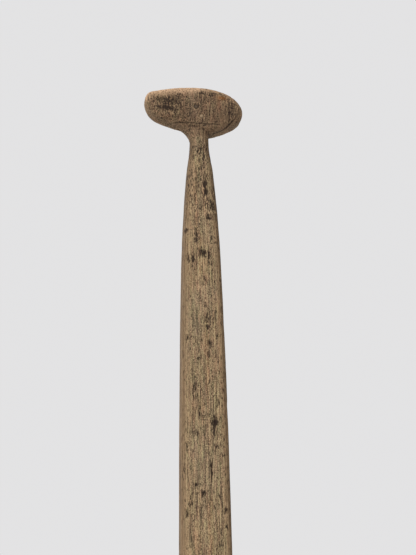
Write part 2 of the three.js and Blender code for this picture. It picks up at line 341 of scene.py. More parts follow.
def tree_over(*names):
    """A search tree over several CAD nodes together, in mm."""
    points, faces = [], []
    for name in names:
        mesh = NODES[name].data
        start = len(points)
        points += [v.co / MM for v in mesh.vertices]
        faces += [[i + start for i in p.vertices] for p in mesh.polygons]
    return BVHTree.FromPolygons(points, faces)


def filled(values):
    """A list with its gaps filled in between their neighbours."""
    values = np.array(values, float)
    good = np.isfinite(values)
    return np.interp(np.arange(len(values)), np.flatnonzero(good), values[good])


def softened(table, sigma):
    """A table smoothed along its rows, its ends held."""
    reach = int(3 * sigma) + 1
    kernel = np.exp(-0.5 * (np.arange(-reach, reach + 1) / sigma) ** 2)
    kernel /= kernel.sum()
    wide = np.pad(table, ((reach, reach), (0, 0)), mode="reflect", reflect_type="odd")
    return np.stack([np.convolve(wide[:, c], kernel, "valid") for c in range(table.shape[1])], 1)


def spaced_across(count):
    """Shares of a half width from -1 to 1, closer together near the edges."""
    return np.sin(np.pi * (np.linspace(0, 1, count) - 0.5))


def section_heights():
    """The heights at which the sections are read, in mm."""
    low = np.arange(WOOD_FOOT + FIRST_ROW, FINE_ABOVE, COARSE_ROW)
    high = np.arange(FINE_ABOVE, NECK_TOP - 2 * LAST_ROW, FINE_ROW)
    foot = WOOD_FOOT + FIRST_ROW + FOOT_ROWS
    return np.unique(np.concatenate([low, foot, high, [NECK_TOP - LAST_ROW]]))


class Outline:
    """The wooden section at every height, read off the CAD loom and side boards.

    `half` is half the width at each height, and `depth` is half the thickness at each share of it.
    """

    def __init__(self):
        tree = tree_over("loom", "blade_cheek_left", "blade_cheek_right")
        self.heights = section_heights()
        self.share = spaced_across(SAMPLES_ACROSS + 1)
        halves = filled([self.read_half(tree, z) for z in self.heights])
        depths = [self.read_depths(tree, z, half) for z, half in zip(self.heights, halves)]
        table = np.column_stack([halves, np.array(depths)])
        body = self.heights > WOOD_FOOT + SMOOTH_ABOVE
        table = np.where(body[:, None], softened(table, SMOOTH_ROWS), table)
        self.half = table[:, 0]
        self.depth = np.maximum(table[:, 1:], THINNEST)

    def read_half(self, tree, z):
        """Half the width at a height."""
        hit = tree.ray_cast(Vector((RAY_SIDE, 0, z)), Vector((-1, 0, 0)))[0]
        return hit.x if hit else np.nan

    def read_depths(self, tree, z, half):
        """Half the thickness at a height, from the left edge to the right one."""
        row = []
        for share in self.share[1:-1]:
            hit = tree.ray_cast(Vector((share * half, -RAY_FRONT, z)), Vector((0, 1, 0)))[0]
            row.append(-hit.y if hit and hit.y < 0 else np.nan)
        ends = [CORNER_SHARE * (depth if np.isfinite(depth) else 1) for depth in (row[0], row[-1])]
        return filled([ends[0], *row, ends[1]])

    def depth_at(self, row, x):
        """Half the thickness of a section at x, in mm."""
        return np.interp(x / self.half[row], self.share, self.depth[row])


OUTLINE = Outline()
# How much smaller a carried-on section ends, as a share of its size.
REACH_INSET = 0.012


def section_skin(low, high, left, right, across, sides, reach=0.0):
    """A skin over the sections from low to high, cut off at x = left and x = right.

    `reach` carries the top section on, a shade smaller, so that no gap shows under the grip.
    `across` and `sides` are how many points lie along each face and down each side.
    """
    rows = [i for i, z in enumerate(OUTLINE.heights) if low <= z <= high]
    share = spaced_across(across)
    rings = []
    for row in rows:
        half, z = OUTLINE.half[row], OUTLINE.heights[row]
        x0, x1 = max(left, -half), min(right, half)
        x0, x1 = min(x0, half - NARROWEST), max(x1, NARROWEST - half)
        x = (x0 + x1) / 2 + (x1 - x0) / 2 * share
        y = OUTLINE.depth_at(row, x)
        t = (np.arange(sides) + 1) / (sides + 1)
        front = np.column_stack([x, -y])
        right_side = np.column_stack([np.full(sides, x1), y[-1] * (2 * t - 1)])
        back = np.column_stack([x[::-1], y[::-1]])
        left_side = np.column_stack([np.full(sides, x0), y[0] * (1 - 2 * t)])
        ring = np.concatenate([front, right_side, back, left_side])
        rings.append(np.column_stack([ring, np.full(len(ring), z)]))
    if reach:
        top = rings[-1]
        for part in (0.25, 0.5, 0.75, 1.0):
            inset = 1 - REACH_INSET * part
            rings.append(top * (inset, inset, 1) + (0, 0, reach * part))
    return lofted(rings)


# -------------------- wear, grain and marks

# Places in these lists are x and the distance below the oar's top, in mm.
# Dark clusters on the front of the loom: place, half width, half length, strength.
LOOM_MARKS = [
    (-4, 91, 2.2, 2.6, 1), (-9, 97, 2.2, 2.4, 0.8), (-1, 114, 3.4, 2.4, 0.9),
    (-17, 124, 2, 6, 0.8), (3, 125, 1.2, 8, 0.8), (4, 136, 2.9, 5, 1.5),
    (5, 146, 2.6, 5.4, 1.5), (12, 164, 6, 8, 0.95), (8, 180, 4.4, 3.2, 1.2),
    (-20, 197, 2, 3.4, 1.15), (-8, 201, 1.8, 8, 0.9), (-8, 209, 2.6, 3, 1.2),
    (-3, 224, 2.8, 4.6, 1.2), (1, 226, 4.4, 3.8, 1.25), (7, 230, 2, 8, 1.1),
    (-18, 233, 1.6, 6, 0.9), (-12, 234, 2.4, 8, 1.1), (2, 258, 2.2, 3.6, 0.9),
    (2, 291, 2, 3, 0.8), (3, 306, 6, 8, 0.45), (4, 318, 2.6, 4, 0.9),
    (15.5, 327, 2.2, 4, 0.9), (-20, 330, 2.2, 3, 1.1), (7, 336, 2.8, 3.6, 0.9),
    (5, 350, 2, 4, 0.9), (-7, 355, 3, 2.4, 0.8), (-12, 386, 2.2, 12, 0.7),
    (-12, 399, 2.2, 3.2, 0.9), (15, 406, 1.8, 5, 0.9), (-7, 416, 2.2, 6, 0.7),
    (10.5, 428, 2.8, 7, 1.5), (10, 438, 1.6, 4.6, 1), (-11, 440, 2.8, 3, 0.8),
    (-22, 454, 2, 6, 0.7), (12, 455, 3.4, 2.4, 1), (-25, 479, 1.8, 4, 0.8),
    (5.5, 481, 1.3, 12, 1), (-12, 496, 3.4, 2.8, 0.9), (-4, 505, 3.4, 2.8, 1.3),
    (-18, 516, 2, 8, 0.8), (21, 524, 1.8, 4, 1), (-22, 526, 1.8, 6, 0.9),
    (22, 542, 1.8, 3, 1.1),
]
# The knot and a cleaner patch: place, half width and half length.
KNOT = (10.5, 428, 2.2, 4.0)
CLEAN_PATCH = (0, 562, 26, 34)
# Drying splits along the grain: x, highest and lowest point, and the face, -1 for the front.
LOOM_SPLITS = [
    (5.5, 466, 495, -1), (9, 564, 650, -1), (-12, 745, 845, -1), (3, 1010, 1110, -1),
    (-6, 1400, 1520, -1), (11, 180, 270, 1), (-9, 450, 560, 1), (4, 675, 750, 1),
    (14, 880, 990, 1), (-3, 1310, 1460, 1),
]
SPLIT_HALF_WIDTH, SPLIT_WANDER = 0.6, 1.6
# Shorter splits than this are broken up, as checks round a knot are.
UNBROKEN_SPLIT = 30


def blot(points, x, below, wide, long, ragged=0.0):
    """A soft spot on a face, from 0 to 1. `ragged` is noise that breaks up its edge."""
    dx, dz = (points[:, 0] - x) / wide, (points[:, 2] - TOP + below) / long
    return np.exp(-((dx * dx + dz * dz) * (1 + 0.6 * ragged)))


def split_line(points, x, start, end, wander):
    """A thin split that runs down the grain, from 0 to 1."""
    below = TOP - points[:, 2]
    t = np.clip((below - start) / (end - start), 0, 1)
    width = SPLIT_HALF_WIDTH * (0.25 + np.sin(np.pi * t))
    from_middle = (points[:, 0] - x - SPLIT_WANDER * wander) / np.maximum(width, 0.2)
    return np.where((below > start) & (below < end), np.exp(-from_middle ** 2), 0)


def weather(skin, seed, arris, coarse, grain=0.22, pits=0.35, keep=None):
    """Age on a wooden skin: hand-cut unevenness, raised grain, dents, and worn arrises.

    `arris`, `coarse`, `grain` and `pits` say how deep each kind of wear goes, in mm. `keep` is 1
    where the arrises are real and 0 where a skin only ends against another.
    """
    points = skin.points.copy()
    sharp = skin.spread(np.clip(skin.relief(10), 0, 2), 4)
    edge = np.clip(sharp / max(np.percentile(sharp, 98), 1e-6), 0, 1)
    if keep is not None:
        edge = edge * keep
    skin.attributes["arris"] = edge
    uneven = noise(points, (26, 26, 150), seed, 3)
    facets = noise(points, (9, 9, 46), seed + 1, 2)
    bend = 3 * noise(points, (60, 60, 220), seed + 2)[:, None]
    lines = noise(points + bend, (3.1, 3.1, 95), seed + 3, 2)
    fibre = noise(points, (1.7, 1.7, 22), seed + 4, 2)
    chips = smoothstep(0.30, 0.75, noise(points, (6, 6, 9), seed + 5, 2))
    dents = smoothstep(0.42, 0.8, noise(points, (7, 7, 16), seed + 6, 2))
    height = coarse * 0.6 * uneven + coarse * 0.35 * facets
    height += grain * (np.abs(lines) * 1.6 - 0.6) + grain * 0.5 * fibre
    height -= arris * edge * (0.6 + 2.2 * chips) + pits * dents
    skin.push(height)


def finish_skin(skin, stain, cut=None, rust=None, flank=None):
    """Sets the colour attributes from the final shape and the marks."""
    nothing = np.zeros(len(skin.points))
    # The grooves get painted shade and the ridges a painted highlight, from this relief.
    fine = skin.relief(3)
    spread = max(np.percentile(np.abs(fine), 97), 1e-6)
    skin.attributes["cavity"] = np.clip(-fine / spread, -1, 1)
    skin.attributes["stain"] = np.clip(stain, -1, 1.5)
    skin.attributes["cut"] = nothing if cut is None else np.clip(cut, 0, 1)
    skin.attributes["rust"] = nothing if rust is None else np.clip(rust, 0, 1)
    # Painted shade from the caller: on the side faces, and on the grip's front towards its lower right.
    skin.attributes["flank"] = nothing if flank is None else flank


# How far inside the left and right outline the painted shade on the side faces ends and is full,
# in mm, and how much there is on the left.
LEFT_FLANK, RIGHT_FLANK = (7.5, 0.4), (9.5, 1.6)
LEFT_SHADE = 0.92


def shaded_flanks(points):
    """1 on the narrow side faces, where painted shade darkens the wood, the right one most."""
    half = np.interp(points[:, 2], OUTLINE.heights, OUTLINE.half)
    left = LEFT_SHADE * smoothstep(*LEFT_FLANK, half + points[:, 0])
    right = smoothstep(*RIGHT_FLANK, half - points[:, 0])
    return np.maximum(left, right)


# -------------------- materials


# How far each pattern in a material starts from the one before it, so that no two line up.
PATTERN_STEP = (3.7, 5.3, 1.9)


class Graph:
    """Short calls for building a material's nodes."""

    def __init__(self, name):
        self.material = bpy.data.materials.new(name)
        self.material.use_nodes = True
        self.tree = self.material.node_tree
        self.tree.nodes.clear()
        out = self.new("OutputMaterial")
        self.shader = self.new("BsdfPrincipled")
        self.tree.links.new(self.shader.outputs[0], out.inputs[0])
        self.place = self.new("TexCoord").outputs["Object"]
        self.patterns = 0

    def new(self, kind):
        return self.tree.nodes.new("ShaderNode" + kind)

    def plug(self, value, socket):
        """Links a node's output to a socket, or sets the socket to a plain value."""
        if isinstance(value, bpy.types.NodeSocket):
            self.tree.links.new(value, socket)
        else:
            socket.default_value = value

    def attribute(self, name):
        node = self.new("Attribute")
        node.attribute_name = name
        return node.outputs["Fac"]

    def maths(self, operation, a, b=0.0, clamp=False):
        node = self.new("Math")
        node.operation, node.use_clamp = operation, clamp
        self.plug(a, node.inputs[0])
        self.plug(b, node.inputs[1])
        return node.outputs[0]

    def times(self, a, b, clamp=False):
        return self.maths("MULTIPLY", a, b, clamp)

    def stretched(self, size, source=None):
        """Coordinates in which one unit is `size` mm along X, Y and Z, moved for every use."""
        self.patterns += 1
        node = self.new("Mapping")
        node.inputs["Location"].default_value = [step * self.patterns for step in PATTERN_STEP]
        node.inputs["Scale"].default_value = [1 / (s * MM) for s in size]
        self.plug(source or self.place, node.inputs["Vector"])
        return node.outputs[0]

    def noise(self, size, detail, rough, distortion=0.0, source=None):
        node = self.new("TexNoise")
        node.inputs["Scale"].default_value = 1.0
        node.inputs["Detail"].default_value = detail
        node.inputs["Roughness"].default_value = rough
        node.inputs["Distortion"].default_value = distortion
        self.plug(self.stretched(size, source), node.inputs["Vector"])
        return node.outputs[0]

    def cells(self, size):
        node = self.new("TexVoronoi")
        node.inputs["Scale"].default_value = 1.0
        self.plug(self.stretched(size), node.inputs["Vector"])
        return node.outputs["Distance"]

    def ramp(self, factor, stops):
        """A colour ramp from (position, colour) pairs, where a colour may be one grey."""
        node = self.new("ValToRGB")
        elements = node.color_ramp.elements
        while len(elements) < len(stops):
            elements.new(0.5)
        for element, (position, colour) in zip(elements, stops):
            element.position = position
            element.color = (*colour, 1) if isinstance(colour, tuple) else (colour, colour, colour, 1)
        self.plug(factor, node.inputs[0])
        return node.outputs[0]

    def below(self, value, full, none, most=1.0):
        """`most` where the value is under `full`, falling to 0 at `none`."""
        return self.times(self.ramp(value, [(full, 1.0), (none, 0.0)]), most)

    def above(self, value, none, full, most=1.0):
        """0 where the value is under `none`, rising to `most` at `full`."""
        return self.times(self.ramp(value, [(none, 0.0), (full, 1.0)]), most)

    def mix(self, factor, a, b, blend="MIX"):
        node = self.new("Mix")
        node.data_type, node.blend_type, node.clamp_factor = "RGBA", blend, True
        self.plug(factor, node.inputs[0])
        self.plug((*a, 1) if isinstance(a, tuple) else a, node.inputs[6])
        self.plug((*b, 1) if isinstance(b, tuple) else b, node.inputs[7])
        return node.outputs[2]

    def bump(self, height, distance, strength):
        node = self.new("Bump")
        node.inputs["Distance"].default_value = distance * MM
        node.inputs["Strength"].default_value = strength
        self.plug(height, node.inputs["Height"])
        return node.outputs[0]

    def set(self, **inputs):
        """Sets the shader's sockets. An underscore stands for the space in a socket's name."""
        for name, value in inputs.items():
            self.plug(value, self.shader.inputs[name.replace("_", " ")])


BLACK = (0.014, 0.006, 0.003)
RUST = (0.26, 0.10, 0.022)
# How far the grain lines wander sideways, in metres.
GRAIN_DRIFT = 0.012
# How the wood's colour turns, from greener to redder, over broad patches and over fine streaks.
PATCH_TINTS = [(0.38, (0.965, 1.004, 0.95)), (0.50, (1.0, 1.0, 1.0)), (0.64, (1.05, 0.982, 0.955))]
FINE_TINTS = [(0.38, (0.94, 1.005, 0.95)), (0.50, (1.0, 1.0, 1.0)), (0.62, (1.06, 0.975, 0.985))]


def wood(name, ground, pale, dark, warm, edge, streak, fleck, density, patchy):
    """Bare weathered wood whose grain runs up the oar, with black flecks, painted shade in its
    grooves and a painted highlight on its ridges.

    `edge` is the colour of the rubbed arrises, and on the grip also of the painted highlight along
    its top rim and left end. `streak` and `fleck` are the sizes of the grain lines and of the dark
    flecks, in mm. `density` and `patchy` say how many flecks there are and how unevenly they lie.
    """
    g = Graph(name)
    arris, cavity, flank = g.attribute("arris"), g.attribute("cavity"), g.attribute("flank")
    stain, cut, rust = g.attribute("stain"), g.attribute("cut"), g.attribute("rust")
    wide, long = streak

    # The patterns. The grain's own lines follow `along`, so they wander a little.
    wander = g.noise((90, 90, 400), 2, 0.5)
    drift = g.new("VectorMath")
    drift.operation = "MULTIPLY_ADD"
    g.plug(wander, drift.inputs[0])
    drift.inputs[1].default_value = (GRAIN_DRIFT, GRAIN_DRIFT, 0.0)
    g.plug(g.place, drift.inputs[2])
    along = drift.outputs[0]
    boards = g.noise((7, 7, 240), 3, 0.6, 0.2, along)
    lines = g.noise((wide * 0.95, wide * 0.95, long * 5), 2, 0.5, 0.1, along)
    streaks = g.noise((wide, wide, long), 3, 0.65, 0.15, along)
    lights = g.noise((wide * 0.9, wide * 0.9, long * 0.55), 3, 0.7, 0.2, along)
    comb = g.noise((wide * 0.70, wide * 0.70, long * 2.4), 2, 0.5, 0.0, along)
    stipple = g.noise((1.05, 1.05, 1.6), 2, 0.6)
    beads = g.maths("ADD", g.times(comb, 0.44), g.times(stipple, 0.56))
    tint = g.noise((11, 11, 60), 3, 0.6, 0.4)
    flecks = g.noise((fleck[0], fleck[0], fleck[1]), 2, 0.6, 0.3)
    patch = g.noise((12, 12, 62), 3, 0.6)
    bloom = g.noise((38, 38, 90), 3, 0.55)
    mottle = g.noise((6, 6, 10), 4, 0.7, 0.6)
    hue = g.noise((2.4, 2.4, 15), 2, 0.6)

    # Where there are more dark marks than elsewhere.
    busy = g.times(g.maths("SUBTRACT", patch, 0.5), patchy)
    busy = g.maths("SUBTRACT", busy, g.times(arris, 0.06))
    busy = g.maths("ADD", busy, density)

    def busier(pattern, share):
        return g.maths("SUBTRACT", pattern, g.times(busy, share))

    # The bare wood: its ground, grain lines, pores and turns of colour.
    greyed = tuple(0.75 * c + 0.25 * sum(ground) / 3 for c in ground)
    colour = g.ramp(boards, [(0.34, tuple(c * 0.80 for c in ground)), (0.50, ground), (0.66, warm)])
    colour = g.mix(g.above(bloom, 0.46, 0.66, 0.55), colour, greyed)
    colour = g.mix(g.below(busier(lines, 0.5), 0.38, 0.50, 0.40), colour, dark)
    colour = g.mix(g.below(busier(streaks, 1.0), 0.40, 0.49, 0.46), colour, dark)
    colour = g.mix(g.above(lights, 0.53, 0.62, 0.50), colour, pale)
    colour = g.mix(g.below(busier(beads, 0.6), 0.42, 0.48, 0.92), colour, dark)
    colour = g.mix(g.above(beads, 0.525, 0.59, 0.85), colour, pale)
    colour = g.mix(1.0, colour, g.ramp(tint, PATCH_TINTS), "MULTIPLY")
    colour = g.mix(1.0, colour, g.ramp(hue, FINE_TINTS), "MULTIPLY")

    # Rubbed edges, which on the grip carry a painted highlight too, painted shade on the side
    # faces, painted shade in the grooves and a painted highlight on the ridges.
    uneven = g.times(g.maths("SUBTRACT", mottle, 0.55), 0.8)
    on_edge = g.maths("ADD", g.times(arris, 1.15), uneven, clamp=True)
    rubbed = g.mix(g.below(beads, 0.40, 0.54, 0.75), edge, ground)
    colour = g.mix(g.times(on_edge, 0.80), colour, rubbed)
    colour = g.mix(g.times(flank, 0.92), colour, tuple(0.40 * c for c in warm))
    colour = g.mix(g.times(cavity, 0.50, clamp=True), colour, dark)
    colour = g.mix(g.times(cavity, -0.40, clamp=True), colour, pale)

    # Black flecks, thicker in the stains, then cuts and rust.
    shade = g.maths("SUBTRACT", busier(flecks, 0.7), g.times(stain, 0.235))
    fleck_mask = g.below(shade, 0.33, 0.42)
    colour = g.mix(g.times(fleck_mask, 0.88), colour, BLACK)
    colour = g.mix(g.times(stain, 0.05, clamp=True), colour, dark)
    ragged = g.times(cut, g.times(stipple, 1.9), clamp=True)
    colour = g.mix(ragged, colour, BLACK)
    colour = g.mix(g.times(rust, 0.65), colour, RUST)

    relief = g.maths("ADD", g.times(streaks, 0.8), g.times(lines, 0.6))
    relief = g.maths("SUBTRACT", relief, g.times(fleck_mask, 0.45))
    g.set(Base_Color=colour, Roughness=g.ramp(streaks, [(0.3, 0.92), (0.7, 0.70)]),
          Normal=g.bump(relief, 0.7, 0.9))
    g.shader.inputs["Specular IOR Level"].default_value = 0.25
    return g.material


def end_grain(name, pale, deep, highlight_colour=None):
    """The cut end of a peg or wedge: rings, pores and grime. Its last colour, if given, is a painted
    highlight, shown where the piece's highlight share is 1.
    """
    g = Graph(name)
    rings = g.noise((2.2, 2.2, 2.2), 5, 0.7, 1.2)
    pores = g.cells((0.7, 0.7, 0.7))
    colour = g.ramp(rings, [(0.35, deep), (0.62, pale)])
    colour = g.mix(g.below(pores, 0.1, 0.45, 0.8), colour, BLACK)
    if highlight_colour:
        colour = g.mix(g.times(g.attribute("tone"), 0.8), colour, highlight_colour)
    g.set(Base_Color=colour, Roughness=g.ramp(rings, [(0.3, 0.9), (0.7, 0.7)]),
          Normal=g.bump(rings, 0.35, 0.7))
    return g.material


def old_metal(name, bright, dull, bloom):
    """Tarnished sheet metal: dull brown, rubbed bright on its high spots, with pale bloom."""
    g = Graph(name)
    tarnish = g.noise((14, 14, 9), 5, 0.65, 0.8)
    spots = g.noise((2.4, 2.4, 2.4), 4, 0.7)
    scratches = g.noise((0.5, 0.5, 14), 3, 0.7, 0.4)
    colour = g.ramp(tarnish, [(0.34, dull), (0.62, bright)])
    colour = g.mix(g.above(spots, 0.56, 0.70, 0.75), colour, bloom)
    colour = g.mix(g.above(scratches, 0.62, 0.75, 0.6), colour, bright)
    metal = g.ramp(spots, [(0.54, 0.9), (0.70, 0.15)])
    g.set(Base_Color=colour, Metallic=metal, Roughness=g.ramp(tarnish, [(0.3, 0.62), (0.7, 0.38)]),
          Normal=g.bump(g.maths("ADD", spots, g.times(scratches, 0.5)), 0.25, 0.7))
    return g.material


LOOM_WOOD = wood(
    "loom_wood", ground=(0.270, 0.186, 0.106), pale=(0.52, 0.385, 0.225), dark=(0.069, 0.046, 0.030),
    warm=(0.300, 0.180, 0.095), edge=(0.280, 0.170, 0.092), streak=(1.25, 12), fleck=(1.3, 4.6),
    density=-0.005, patchy=0.22)
# The grip's pale edge colour is partly wear and partly a painted highlight on its top rim and left end.
GRIP_WOOD = wood(
    "grip_wood", ground=(0.200, 0.128, 0.072), pale=(0.38, 0.255, 0.150), dark=(0.061, 0.036, 0.021),
    warm=(0.240, 0.145, 0.082), edge=(0.660, 0.430, 0.270), streak=(1.5, 7), fleck=(1.6, 2.6),
    density=0.025, patchy=0.30)
CHEEK_WOOD = wood(
    "cheek_wood", ground=(0.300, 0.215, 0.130), pale=(0.54, 0.41, 0.25), dark=(0.080, 0.058, 0.040),
    warm=(0.320, 0.205, 0.115), edge=(0.330, 0.215, 0.125), streak=(1.4, 18), fleck=(1.4, 5),
    density=-0.015, patchy=0.26)
DOWEL_WOOD = end_grain("dowel_wood", (0.52, 0.38, 0.22), (0.34, 0.23, 0.12))
# Its last colour is the painted highlight on the lower peg's end.
PEG_WOOD = end_grain("peg_wood", (0.13, 0.085, 0.05), (0.03, 0.02, 0.013), (0.36, 0.25, 0.15))
WEDGE_WOOD = end_grain("wedge_wood", (0.42, 0.31, 0.20), (0.20, 0.13, 0.08))
BAND_METAL = old_metal("band_metal", (0.30, 0.185, 0.12), (0.075, 0.05, 0.036), (0.16, 0.20, 0.16))
RIVET_METAL = old_metal("rivet_metal", (0.48, 0.27, 0.15), (0.12, 0.07, 0.045), (0.17, 0.21, 0.17))


# -------------------- pieces

# Where each piece's random numbers start.
LOOM_SEED, TENON_SEED = 100, 130
CHEEK_SEEDS = {"left": 200, "right": 260}
CHEEK_STAIN_SEED = 220
GRIP_SEED = 300
PEG_SEED, WEDGE_SEED = 400, 420
BAND_SEED, RIVET_SEED = 500, 520
# The open line that shows between the spine and each side board, in mm.
GLUE_GAP = 0.25
# The size of the voxels in the grip's and tenon's skins, and in the wedge's, in mm.
WOOD_VOXEL, WEDGE_VOXEL = 0.9, 0.35
# The tenon's skin starts this far below the neck's top, and the neck's skin goes on this far past
# its last section, in mm.
TENON_OVERLAP, NECK_REACH = 0.8, 2.4
# How deep a full stain, split and knot lie, in mm.
STAIN_DEPTH, SPLIT_DEPTH, KNOT_DEPTH = 0.25, 1.1, 0.9


def make_loom():
    """The loom, from the blade's spine to the neck, and the tenon inside the grip."""
    inner = GLUE_LINE - GLUE_GAP
    skin = section_skin(WOOD_FOOT, NECK_TOP, -inner, inner, across=72, sides=9, reach=NECK_REACH)
    start = skin.points.copy()
    x, y, z = start.T
    front = y < 0
    weather(skin, LOOM_SEED, arris=0.18, coarse=0.5, keep=smoothstep(NECK_TOP - 4, NECK_TOP - 22, z))
    ragged = noise(start, (2.2, 2.2, 3.4), LOOM_SEED + 20, 2)
    wander = noise(start, (1000, 1000, 14), LOOM_SEED + 21, 2)
    handled = 0.30 * smoothstep(230, 135, TOP - z)
    # Real stains, except the share that grows towards the right of the front, which is painted shade.
    stain = handled + 0.16 * smoothstep(6, 24, x) * front - 0.4 * blot(start, *CLEAN_PATCH)
    for *place, strength in LOOM_MARKS:
        stain = np.maximum(stain, strength * blot(start, *place, ragged) * front)
    heart = blot(start, *KNOT, ragged) * front
    cut = np.zeros(len(start))
    for place, top, foot, face in LOOM_SPLITS:
        on_face = front if face < 0 else ~front
        broken = smoothstep(-0.45, 0.2, ragged) if foot - top < UNBROKEN_SPLIT else 1
        cut = np.maximum(cut, split_line(start, place, top, foot, wander) * on_face * broken)
    skin.push(-STAIN_DEPTH * stain - SPLIT_DEPTH * cut - KNOT_DEPTH * heart)
    rot = 0.9 * smoothstep(0.62, 1.05, stain) * (0.6 + 0.4 * ragged)
    # The side faces get painted shade.
    finish_skin(skin, stain, np.maximum(np.maximum(cut, heart), rot), flank=shaded_flanks(start))
    piece = merged([skin, tenon_skin()]).build("loom_weathered", LOOM_WOOD)
    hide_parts("loom")


def tenon_skin():
    """The part of the loom inside the grip, whose end shows on the crown."""
    tenon = remeshed(NODES["loom"], WOOD_VOXEL, above=NECK_TOP - TENON_OVERLAP)
    tenon.points = tenon.spread(tenon.points, 2)
    tenon.attributes["arris"] = np.zeros(len(tenon.points))
    tenon.push(0.25 * noise(tenon.points, (1.6, 1.6, 8), TENON_SEED, 2))
    finish_skin(tenon, np.full(len(tenon.points), 0.35))
    return tenon


def make_cheeks():
    """The two boards beside the spine."""
    for side, sign in (("left", -1), ("right", 1)):
        beyond = CAD_BOX[1].x / MM + 5
        low, high = (-beyond, -GLUE_LINE) if sign < 0 else (GLUE_LINE, beyond)
        skin = section_skin(WOOD_FOOT, CHEEK_TOP, low, high, across=44, sides=7)
        start = skin.points.copy()
        weather(skin, CHEEK_SEEDS[side], arris=0.45, coarse=0.5)
        stain = smoothstep(0.45, 0.8, noise(start, (6, 6, 30), CHEEK_STAIN_SEED, 3)) * 0.5
        wet = 0.5 + 0.5 * noise(start, (9, 9, 40), CHEEK_STAIN_SEED + 1, 2)
        damp = smoothstep(120, 20, start[:, 2]) * wet
        # The side faces get painted shade.
        finish_skin(skin, np.maximum(stain, 0.55 * damp), flank=shaded_flanks(start))
        piece = skin.build(f"blade_cheek_{side}_weathered", CHEEK_WOOD)
        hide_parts(f"blade_cheek_{side}")


# Lines cut or split into the front of the grip: points as x, y and the distance below the top,
# then half width and strength.
GRIP_LINES = [
    ([(-33, -8, 50.9), (-26, -11, 51.9), (-13, -14.4, 53.2), (12, -16.7, 54.1), (24, -15.7, 53.6)],
     0.75, 0.95),
    ([(-15, -11, 56.3), (-4.5, -13.6, 56.9)], 0.75, 0.7),
    ([(46, -15.4, 42.8), (42, -14.6, 46.9)], 0.8, 0.55),
    ([(42, -14.6, 46.9), (34, -10, 55)], 1.2, 1.0),
    ([(34, -10, 55), (26.5, -6.5, 58.7), (17.7, -4.2, 61.6)], 1.0, 0.9),
    ([(37.4, -16.4, 15.5), (36.9, -17, 33), (36.8, -15.2, 49)], 0.9, 0.85),
]
# The reddish spot: place, half width and half length.
RUST_SPOT = (28, 16.5, 5.5, 3)
# Dark clusters on the front of the grip: place, half width, half length, strength.
GRIP_MARKS = [
    (-42, 25, 18, 6.5, 0.75), (-43, 35, 16, 3.4, 1.05), (-40, 47, 10, 2.6, 0.45),
    (-57, 34, 5, 4, 0.45), (0, 12, 7, 3, 0.5), (15, 13, 7, 3, 0.65),
    (31, 18, 6, 3.6, 0.55), (41, 28, 4, 8, 0.45), (8, 21, 20, 9, 0.26),
    (-16, 45, 12, 5, 0.3), (40, 38, 8, 10, 0.45), (-44, 30, 9, 2.2, 0.9),
    (-50, 43, 11, 7, 0.4), (-28, 28, 6, 12, 0.4), (8, 38, 22, 12, 0.22),
    (-4, 30.5, 6.5, 3.4, 0.6),
]
# How deep a full saw line and stain lie in the grip, in mm.
LINE_DEPTH, GRIP_STAIN_DEPTH = 0.8, 0.15
# How much a distance from such a line counts along X, Y and Z.
LINE_REACH = (1, 0.4, 1)
# How far each peg's ends are sunk, in mm, and how strongly a painted highlight pales them.
PEG_ENDS = {"grip_peg_upper": (0.7, 0.0), "grip_peg_lower": (0.3, 0.85)}
# The grip's edges aren't worn round the pegs, within about this radius, in mm.
PEG_ZONE = 4.5
# The grip's outline is read in columns this wide, in mm.
RIM_COLUMN = 2


def near_line(points, line, half_width):
    """1 on a line of one or more stretches and 0 away from it."""
    line = np.array(line, float) * (1, 1, -1) + (0, 0, TOP)
    nearest = np.full(len(points), np.inf)
    for start, end in zip(line, line[1:]):
        step = end - start
        t = np.clip(((points - start) @ step) / (step @ step), 0, 1)
        away = (points - start - t[:, None] * step) * LINE_REACH
        nearest = np.minimum(nearest, np.linalg.norm(away, axis=1))
    return np.exp(-((nearest / half_width) ** 2))


def rim_distance(points, upper):
    """How far each point lies inside the grip's upper or lower outline, straight up or down."""
    columns = np.round(points[:, 0] / RIM_COLUMN).astype(int)
    columns -= columns.min()
    extreme = np.full(columns.max() + 1, -np.inf if upper else np.inf)
    (np.maximum if upper else np.minimum).at(extreme, columns, points[:, 2])
    across = (points[:, 0] - points[:, 0].min()) / RIM_COLUMN
    edge = np.interp(across, np.arange(len(extreme)), extreme)
    return edge - points[:, 2] if upper else points[:, 2] - edge


def peg_zones(points):
    """1 round the pegs' ends and 0 away from them."""
    zones = np.zeros(len(points))
    for name in PEG_ENDS:
        low, high = (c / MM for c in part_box(name))
        centre = (low + high) / 2
        zones += blot(points, centre.x, TOP - centre.z, PEG_ZONE, PEG_ZONE)
    return zones


def rubbed_and_lit_edges(points, from_top, from_foot, uneven):
    """How far the grip's edges are rubbed or carry a painted highlight, and how far its crown does,
    from 0 to 1.

    The band along the top is partly wear and partly a painted highlight where the rounded top
    catches the light. It is broad over the left wing and narrow over the right one, and dimmer
    towards both ends, the right one most. The lit left end is a painted highlight.
    """
    x, y, z = points.T
    left_wing = smoothstep(6, -8, x)
    band = smoothstep(10 + 8.5 * left_wing, 3.5, from_top + uneven) * smoothstep(45, 28, TOP - z)
    dimmer_ends = 0.22 * smoothstep(20, 50, x) + 0.18 * smoothstep(-50, -62, x)
    band *= 0.42 + 0.50 * smoothstep(12, -4, x) - dimmer_ends
    lit_left_end = 0.10 * smoothstep(-64, -67.5, x + uneven)
    lower_rim = 0.08 * smoothstep(6.0, 2.5, from_foot + uneven) * smoothstep(14, 20, x)
    on_arris = smoothstep(5, 11, np.abs(y) + 0.6 * uneven)
    edges = np.maximum(band * (0.30 + 0.70 * on_arris), np.maximum(lit_left_end, lower_rim))
    return edges, band * (1 - on_arris)


